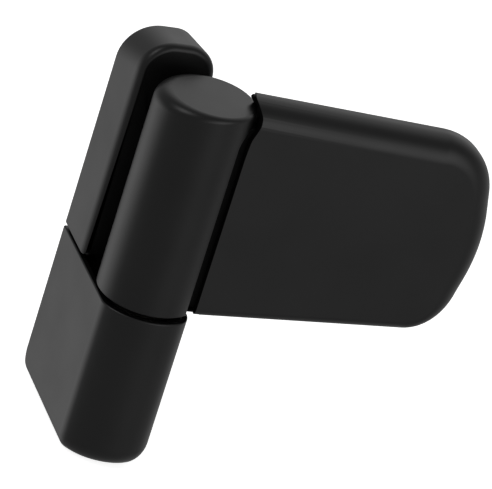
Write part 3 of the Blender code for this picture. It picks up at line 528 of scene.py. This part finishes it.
def hem_at(turn):
    """Shape of the bottom hem, from 0 underneath to pi / 2 at the side."""
    reach = KNUCKLE_RADIUS - KNUCKLE_HEM * (1 - math.sin(turn))
    level = KNUCKLE_HEM * (1 - math.cos(turn))
    return lambda angle: (reach, level)


def rim_at(turn):
    """Shape of the top rim, from 0 at the side to pi / 2 on top."""
    def shape_at(angle):
        rim = RIM + RIM_MORE * ((1 + math.cos(angle - RIM_TOWARDS)) / 2) ** 1.5
        return KNUCKLE_RADIUS - rim * (1 - math.cos(turn)), KNUCKLE_TOP - rim * (1 - math.sin(turn))
    return shape_at


rings = [knuckle_ring(hem_at(turn)) for turn in (0.0, 0.5, 1.0, math.pi / 2)]
rings += [knuckle_ring(rim_at(step * math.pi / (2 * RIM_STEPS))) for step in range(RIM_STEPS + 1)]
cover = body("knuckle_cover", rings)
combine(cover, disc(KNUCKLE_BORE, BELOW_ALL, CAP_UNDERSIDE))
window = rounded((
    (WINDOW_FRONT, BELOW_ALL, 0),
    (WINDOW_BACK, BELOW_ALL, 0),
    (WINDOW_BACK, WINDOW_TOP, WINDOW_CORNER),
    (WINDOW_FRONT, WINDOW_TOP, WINDOW_CORNER),
))
combine(cover, prism(window, WINDOW_START, PIN.x + KNUCKLE_RADIUS * 1.5, side))
settle(cover, "knuckle_cover_moulding", cover_skin, "flag", "knuckle_cover")


# Flag cover.
# A long tapered cap with a convex free end, moulded like the others; it snaps over the leaf casting.
# Its top fillet narrows from 8 to 5.4 mm on the way out, and its inner end steps round the knuckle's cap.
FLAG_START = 0.0111
FLAG_END = 0.0917
FLAG_TOP = 0.0648
FLAG_BOTTOM = -0.0019
FLAG_FRONT = -0.0095
FLAG_BACK = -0.0009
FLAG_INNER = 0.00555
TOP_FALL = 0.0043
TOP_LEAN = 0.0070
TOP_CORNER = 0.0203
BOTTOM_RISE = 0.0040
BOTTOM_LEAN = 0.0058
FLAG_BOTTOM_CORNER = 0.0153
END_BULGE = 0.0484
MIDDLE_DROP = 0.0022
TOP_FILLET = 0.0080
TOP_FILLET_LESS = 0.0026
TOP_FILLET_SOFTER = 0.6
END_FILLET = 0.0070
BOTTOM_FILLET = 0.0030
SLOPE = TOP_FALL / (FLAG_END - TOP_LEAN - FLAG_START)
RISE = BOTTOM_RISE / (FLAG_END - BOTTOM_LEAN - FLAG_START)


def flag_front():
    """Front view of the flag cover, from the pin axis."""
    middle = (FLAG_TOP + FLAG_BOTTOM) / 2 - MIDDLE_DROP
    return rounded((
        (FLAG_INNER, FLAG_BOTTOM - RISE * (FLAG_START - FLAG_INNER), 0),
        (FLAG_END - BOTTOM_LEAN, FLAG_BOTTOM + BOTTOM_RISE, FLAG_BOTTOM_CORNER),
        (FLAG_END, middle, END_BULGE),
        (FLAG_END - TOP_LEAN, FLAG_TOP - TOP_FALL, TOP_CORNER),
        (FLAG_INNER, FLAG_TOP + SLOPE * (FLAG_START - FLAG_INNER), 0),
    ), steps=28)


def from_knuckle(point):
    """0 beside the knuckle to 1 at the free end."""
    return min(1.0, max(0.0, (point.x - FLAG_START) / (FLAG_END - FLAG_START)))


def flag_rim(point, normal):
    """Fillet of the front face: large along the top, narrowing to the end, and small along the bottom."""
    upright = TOP_FILLET - TOP_FILLET_LESS * from_knuckle(point) if normal.y > 0 else BOTTOM_FILLET
    return END_FILLET + (upright - END_FILLET) * normal.y ** 2


def flag_cavity_rim(point, normal):
    """The same fillet, one wall further in."""
    return flag_rim(point, normal) - SKIN


def flag_ease(point, normal):
    """The fillet along the top runs out softly into the face, most of all near the knuckle."""
    return 1 + TOP_FILLET_SOFTER * (1 - from_knuckle(point)) * max(0.0, normal.y) ** 2


def at_pin(u, v, w):
    """Front view measured from the pin axis."""
    return Vector((u, w, v)) + PIN


def inset(outline, distance):
    """The outline moved inwards along its normals."""
    return [(point - normal * distance, normal) for point, normal in outline]


def top_at(x):
    """Level of the flag's top line."""
    return FLAG_TOP + SLOPE * FLAG_START - SLOPE * x


outline = flag_front()
cover = dished("flag_cover", outline, flag_rim, FLAG_FRONT, FLAG_BACK, at_pin, hem=SMALL_HEM, ease=flag_ease)
cavity = dished("cavity", inset(outline, SKIN), flag_cavity_rim, FLAG_FRONT + SKIN, FLAG_BACK + SKIN, at_pin,
                ease=flag_ease)

# The cavity stops 1.2 mm short of the clearance round the cap
CAVITY_START = 0.0156
THROUGH = 0.02
beyond_start = oblong(CAVITY_START, -0.07, 0.1, 0.13)
combine(cavity, prism(beyond_start, -THROUGH, THROUGH, at_pin), "INTERSECT")

# The inner end: straight beside the barrel, further out beside the cap, and back towards it at the very top
BARREL_SIDE = 0.0118
CAP_SIDE = 0.0136
TOP_SIDE = 0.0121
PAST_BOTTOM = -0.010
PAST_TOP = 0.078
inner_end = rounded((
    (0, PAST_TOP, 0),
    (0, PAST_BOTTOM, 0),
    (BARREL_SIDE, PAST_BOTTOM, 0),
    (BARREL_SIDE, 0.0532, 0.0100),
    (CAP_SIDE, 0.0587, 0.0060),
    (CAP_SIDE, 0.0610, 0.0024),
    (TOP_SIDE, top_at(TOP_SIDE) - 0.0004, 0.0010),
    (TOP_SIDE, PAST_TOP, 0),
))
combine(cover, prism(inner_end, -THROUGH, THROUGH, at_pin))

# Round clearances past the barrel, past the cap and over the lower cover's lip, then the way of the neck
BARREL_WAY = 0.0126
CAP_WAY = 0.0144
CAP_WAY_BOTTOM = 0.0541
CAP_WAY_TOP = 0.0619
LOWER_LIP_WAY = 0.0158
UNDERSIDE = -0.0006
NECK_FOOT = 0.0006
NECK_WAY_TOP = 0.0573
NECK_WAY_END = 0.0172
NECK_WAY_FRONT = -0.0076
NECK_WAY_BACK = 0.0007
combine(cover, disc(BARREL_WAY, PAST_BOTTOM, PAST_TOP))
combine(cover, disc(CAP_WAY, CAP_WAY_BOTTOM, CAP_WAY_TOP))
combine(cover, disc(LOWER_LIP_WAY, PAST_BOTTOM, UNDERSIDE))
combine(cover, cavity)
neck_way = oblong(0, NECK_FOOT, NECK_WAY_END, NECK_WAY_TOP)
combine(cover, prism(neck_way, NECK_WAY_FRONT, NECK_WAY_BACK, at_pin))

# The lip fills the step behind the cap's rim, up to the flag's top; the apron closes the gap under the neck
LIP_START = 0.0114
LIP_BEND = 0.0122
LIP_END = 0.0158
LIP_FRONT = -0.0024
lip = rounded((
    (0.0129, 0.06176, 0),
    (0.0135, 0.0615, 0),
    (0.0138, 0.0612, 0),
    (0.01404, 0.0605, 0),
    (LIP_END, 0.0600, 0),
    (LIP_END, top_at(LIP_END) - 0.0002, 0),
    (LIP_BEND, top_at(LIP_BEND) - 0.0006, 0),
    (LIP_START, top_at(LIP_START) - 0.0012, 0.0006),
))
combine(cover, prism(lip, LIP_FRONT, FLAG_BACK, at_pin), "UNION")
APRON_START = 0.0094
APRON_END = 0.0134
APRON_FRONT = -0.0085
APRON_BACK = -0.0015
APRON_EDGE = 0.0002
apron = rounded((
    (APRON_START, 0.0, APRON_EDGE),
    (APRON_END, 0.0, 0),
    (APRON_END, NECK_FOOT, 0),
    (APRON_START, NECK_FOOT, APRON_EDGE),
))
combine(cover, prism(apron, APRON_FRONT, APRON_BACK, at_pin), "UNION")
settle(cover, "flag_cover_moulding", cover_skin, "flag", "flag_cover")

# The faces turned to the knuckle get a darker, rougher, low-gloss copy of the moulding: painted shade, so the
# gap reads black
END_REACH = 0.0166
LIP_REACH = 0.0141
LIP_LEVEL = 0.0600
INNERMOST = 0.0122
gap_shade_nylon, tree, shader = surface("painted_gap_shade_nylon_black", IOR=1.5)
shader.inputs["Specular IOR Level"].default_value = 0.12
vary(tree, shader, noise(tree, 300.0, 3.0), "#040404", "#070707", 0.72, 0.82)
relief(tree, shader, ((noise(tree, 2600.0, 2.0), 0.00001),))
cover.data.materials.append(gap_shade_nylon)
# Painted shade: faces turned to the knuckle, on the lip or innermost take the darker copy
for face in cover.data.polygons:
    spoke = (face.center - PIN).xy
    inward = spoke.length < END_REACH and face.normal.xy.dot(spoke.normalized()) < -0.4
    on_lip = spoke.x < LIP_REACH and face.center.z > LIP_LEVEL and face.normal.z < 0.5
    if inward or on_lip or spoke.x < INNERMOST:
        face.material_index = 1


# Frame packer.
# A 2 mm plate of black nylon between the casting and the door frame, with five holes for the screws.
# Moulded, matt, with softened edges; it takes the shape of the CAD node.
def softened(node_name, name, width, material, carrier):
    """A piece of its own with the CAD node's shape and its edges rounded by the given width."""
    shape = bpy.data.objects.new(name, nodes[node_name].data.copy())
    bpy.context.scene.collection.objects.link(shape)
    bm = bmesh.new()
    bm.from_mesh(shape.data)
    bmesh.ops.remove_doubles(bm, verts=bm.verts, dist=1e-6)
    bmesh.ops.dissolve_limit(bm, angle_limit=math.radians(1), verts=bm.verts, edges=bm.edges)
    bm.to_mesh(shape.data)
    bm.free()
    modifier = shape.modifiers.new("edges", "BEVEL")
    modifier.width = width
    modifier.segments = 2
    modifier.limit_method = "ANGLE"
    modifier.angle_limit = math.radians(40)
    modifier.use_clamp_overlap = True
    graph = bpy.context.evaluated_depsgraph_get()
    shape.data = bpy.data.meshes.new_from_object(shape.evaluated_get(graph))
    shape.modifiers.clear()
    settle(shape, name, material, carrier, node_name)
    return shape


packer_nylon, tree, shader = surface("moulded_nylon_matt_black", IOR=1.52)
vary(tree, shader, noise(tree, 90.0, 3.0), "#161616", "#1F1F1F", 0.52, 0.62)
relief(tree, shader, ((noise(tree, 3000.0, 2.0), 0.000008), (noise(tree, 300.0, 1.0), 0.00001)))
softened("frame_packer", "packer_plate", 0.00025, packer_nylon, "frame_part")


# Frame bracket.
# A zinc die casting: back plate with two ribs, and an arm that carries the bearing tower.
# Powder coated black over a slightly wavy cast skin, so it has a soft orange-peel relief.
coated_zinc, tree, shader = surface("powder_coated_zinc_casting_black", IOR=1.5)
vary(tree, shader, noise(tree, 140.0, 4.0), "#151515", "#1E1E1F", 0.42, 0.55)
relief(tree, shader, ((noise(tree, 900.0, 2.0), 0.00003), (noise(tree, 5200.0, 2.0), 0.000004)))
softened("frame_bracket", "bracket_casting", 0.0003, coated_zinc, "frame_part")


# Pin, compression bush and washer.
# The pin is ground steel with fine rings from grinding; bush and washer are turned from pale acetal.
# The bush is eccentric and stands in the tower, the washer lies on it under the barrel.
def dress(node_name, material):
    """Give a carried-over CAD node its material."""
    mesh = nodes[node_name].data
    mesh.materials.clear()
    mesh.materials.append(material)


ground_steel, tree, shader = surface("ground_steel_pin", Metallic=1.0)
vary(tree, shader, noise(tree, 60.0, 4.0, (1.0, 1.0, 60.0)), "#8E9094", "#A9ABAF", 0.16, 0.26)
relief(tree, shader, ((noise(tree, 70.0, 4.0, (1.0, 1.0, 80.0)), 0.000003),))
dress("hinge_pin", ground_steel)

acetal, tree, shader = surface("turned_acetal_natural", IOR=1.48)
shader.inputs["Subsurface Weight"].default_value = 0.15
shader.inputs["Subsurface Radius"].default_value = (0.0010, 0.0009, 0.0007)
vary(tree, shader, noise(tree, 120.0, 3.0), "#C9C5B8", "#D6D2C6", 0.36, 0.46)
relief(tree, shader, ((noise(tree, 90.0, 2.0, (1.0, 1.0, 60.0)), 0.000006),))
for node_name in ("compression_bush", "thrust_washer"):
    dress(node_name, acetal)


# Frame screws, lock screw and height screw.
# All are plated steel with rolled threads: wood screws with a cross recess, and two hexagon set screws.
# Each is made where its CAD node stands; the thread's crest has the CAD shank's radius.
SCREW_AROUND = 36
STEPS_A_TURN = 8
FLANK = 3.2
CREST = 0.15
THIN = 0.00001
plated_steel, tree, shader = surface("zinc_plated_steel_screw", Metallic=1.0)
vary(tree, shader, noise(tree, 700.0, 4.0), "#A4A8AD", "#BFC2C4", 0.24, 0.38)
relief(tree, shader, ((noise(tree, 2600.0, 3.0), 0.000005),))


def threaded(profile, pitch, depth):
    """Rings of a turned part from (radius, height, cut), threaded up from each height whose cut is set.

    The thread is a helix with a flat crest and a groove of the given depth, which runs out at a thin point.
    """
    rings = []
    for (radius, height, cut), (next_radius, next_height, _) in zip(profile, profile[1:] + profile[-1:]):
        parts = max(1, round(abs(next_height - height) / (pitch / STEPS_A_TURN))) if cut else 1
        for i in range(parts):
            ring = []
            for k in range(SCREW_AROUND):
                angle = 2 * math.pi * k / SCREW_AROUND
                t = i / parts
                level = height + (next_height - height) * t
                size = radius + (next_radius - radius) * t
                wave = (level / pitch - k / SCREW_AROUND) % 1.0
                groove = min(1.0, max(0.0, abs(wave - 0.5) * FLANK - CREST)) if cut else 0.0
                size = max(THIN, size - depth * groove * min(1.0, size / (depth * 3 + THIN)))
                ring.append(Vector((size * math.cos(angle), size * math.sin(angle), level)))
            rings.append(ring)
    return rings


def cross_recess(shape, reach, low, high):
    """Two crossed, tapered wings, 1 mm wide at the head."""
    wing = 0.0005
    taper = 0.55
    for u, v in ((reach, wing), (wing, reach)):
        corners = ((-u, -v), (u, -v), (u, v), (-u, v))
        rings = []
        for size, level in ((taper, low), (1.0, high)):
            rings.append([Vector((a * size, b * size, level)) for a, b in corners])
        combine(shape, body("tool", rings))


def hexagon_socket(shape, reach, low, high):
    """A hexagon hole; reach is measured to its corners."""
    ring = [Vector((math.cos(k * math.pi / 3), math.sin(k * math.pi / 3), 0)) * reach for k in range(6)]
    combine(shape, body("tool", [[point + Vector((0, 0, level)) for point in ring] for level in (low, high)]))


def screw(node_name, name, carrier, profile, pitch, depth, recess, size, axis="y"):
    """A threaded piece along axis, from the node's low end in z or from its far end in y."""
    shape = body(name, threaded(profile, pitch, depth))
    recess(shape, *size)
    low_corner, high_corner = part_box(node_name)
    middle = (low_corner + high_corner) / 2
    if axis == "y":
        turn = Matrix(((1, 0, 0), (0, 0, -1), (0, 1, 0))).to_4x4()
        place = Matrix.Translation((middle.x, high_corner.y, middle.z))
    else:
        turn = Matrix.Identity(4)
        place = Matrix.Translation((middle.x, middle.y, low_corner.z))
    shape.data.transform(place @ turn)
    settle(shape, name, plated_steel, carrier, node_name, sharp=35)


WOOD_PITCH = 0.0018
WOOD_DEPTH = 0.00055
WOOD_RECESS = (0.0021, 0.0162, 0.0184)
wood_screw = [
    (0.0, 0.0, False),
    (0.0002, 0.0, False),
    (0.0021, 0.0040, True),
    (0.0021, 0.0150, True),
    (0.0021, 0.0156, False),
    (0.0037, 0.0176, False),
    (0.0037, 0.01785, False),
    (0.00355, 0.0180, False),
]
for number in range(1, 6):
    screw(f"frame_screw_{number}", f"frame_wood_screw_{number}", "frame_part",
          wood_screw, WOOD_PITCH, WOOD_DEPTH, cross_recess, WOOD_RECESS)

M4_PITCH = 0.0007
M4_DEPTH = 0.0003
low_corner, high_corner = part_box("pin_lock_screw")
length = high_corner.y - low_corner.y
lock_screw = [
    (0.0014, 0.0, False),
    (0.0020, 0.0005, True),
    (0.0020, length - 0.0003, False),
    (0.0017, length, False),
]
screw("pin_lock_screw", "lock_set_screw", "frame_part", lock_screw, M4_PITCH, M4_DEPTH,
      hexagon_socket, (0.0011, length * 0.5, length + 0.0002))

HEIGHT_PITCH = 0.00125
HEIGHT_DEPTH = 0.0006
height_screw = [
    (0.0042, 0.0, False),
    (0.0048, 0.0006, True),
    (0.0048, 0.0059, False),
    (0.0042, 0.0065, False),
]
screw("height_screw", "height_set_screw", "frame_part", height_screw, HEIGHT_PITCH, HEIGHT_DEPTH,
      hexagon_socket, (0.00264, -0.0002, 0.00325), axis="z")


# Flag leaf.
# One zinc die casting: barrel, neck and flag plate, with long holes for the clamp screws.
# Powder coated black like the bracket; the barrel and neck, which show in the gap, get a darker, matt,
# low-gloss copy of the coat: painted shade.
GAP_SHADE_REACH = 0.0170
leaf = softened("flag_leaf", "leaf_casting", 0.0003, coated_zinc, "flag")
# Painted shade: a darker, low-gloss copy of the coat for the faces close round the pin
gap_shade_coat, tree, shader = surface("painted_gap_shade_barrel_coat", IOR=1.5)
shader.inputs["Specular IOR Level"].default_value = 0.12
vary(tree, shader, noise(tree, 180.0, 3.0), "#040404", "#070707", 0.70, 0.82)
relief(tree, shader, ((noise(tree, 2200.0, 2.0), 0.00001),))
leaf.data.materials.append(gap_shade_coat)
for face in leaf.data.polygons:
    if (face.center - PIN).xy.length < GAP_SHADE_REACH:
        face.material_index = 1


# Bearing bushes.
# Two flanged bushes, pressed into the ends of the barrel.
# They are turned from the same pale acetal as the washer.
for node_name in ("lower_bush", "upper_bush"):
    dress(node_name, acetal)


# Sash plate.
# A 3 mm plate of zinc-plated steel under the leaf, with countersunk holes.
# Cut from rolled sheet, whose grain runs along it; the edges are deburred.
zinc_sheet, tree, shader = surface("zinc_plated_steel_sheet", Metallic=1.0)
vary(tree, shader, noise(tree, 160.0, 5.0, (1.0, 1.0, 9.0)), "#9DA1A6", "#B9BCBE", 0.28, 0.42)
relief(tree, shader, ((noise(tree, 420.0, 4.0, (1.0, 1.0, 14.0)), 0.000006),))
softened("sash_plate", "sash_plate_sheet", 0.00025, zinc_sheet, "flag")


# Lateral cam, clamp screws and sash screws.
# The cam is turned, with a hexagon socket and a plain stub; the clamp screws are M4 with pan heads.
# The sash screws are the frame screws' kind. All are plated steel; the cam's thread has no depth.
cam = [
    (0.0018, 0.0, False),
    (0.0020, 0.0002, False),
    (0.0020, 0.0030, False),
    (0.0050, 0.0030, False),
    (0.0050, 0.0068, False),
    (0.0048, 0.0070, False),
]
screw("lateral_cam", "adjusting_cam", "flag", cam, M4_PITCH, 0.0, hexagon_socket, (0.0020, 0.0046, 0.0072))
clamp_screw = [
    (0.0015, 0.0, False),
    (0.0020, 0.0005, True),
    (0.0020, 0.0073, False),
    (0.0040, 0.0073, False),
    (0.0040, 0.0083, False),
    (0.0037, 0.0087, False),
    (0.0033, 0.0091, False),
    (0.0028, 0.0094, False),
    (0.0024, 0.0095, False),
]
for number in (1, 2):
    screw(f"clamp_screw_{number}", f"clamp_machine_screw_{number}", "flag",
          clamp_screw, M4_PITCH, M4_DEPTH, cross_recess, (0.0019, 0.0080, 0.0098))
for number in range(1, 5):
    screw(f"sash_screw_{number}", f"sash_wood_screw_{number}", "flag",
          wood_screw, WOOD_PITCH, WOOD_DEPTH, cross_recess, WOOD_RECESS)
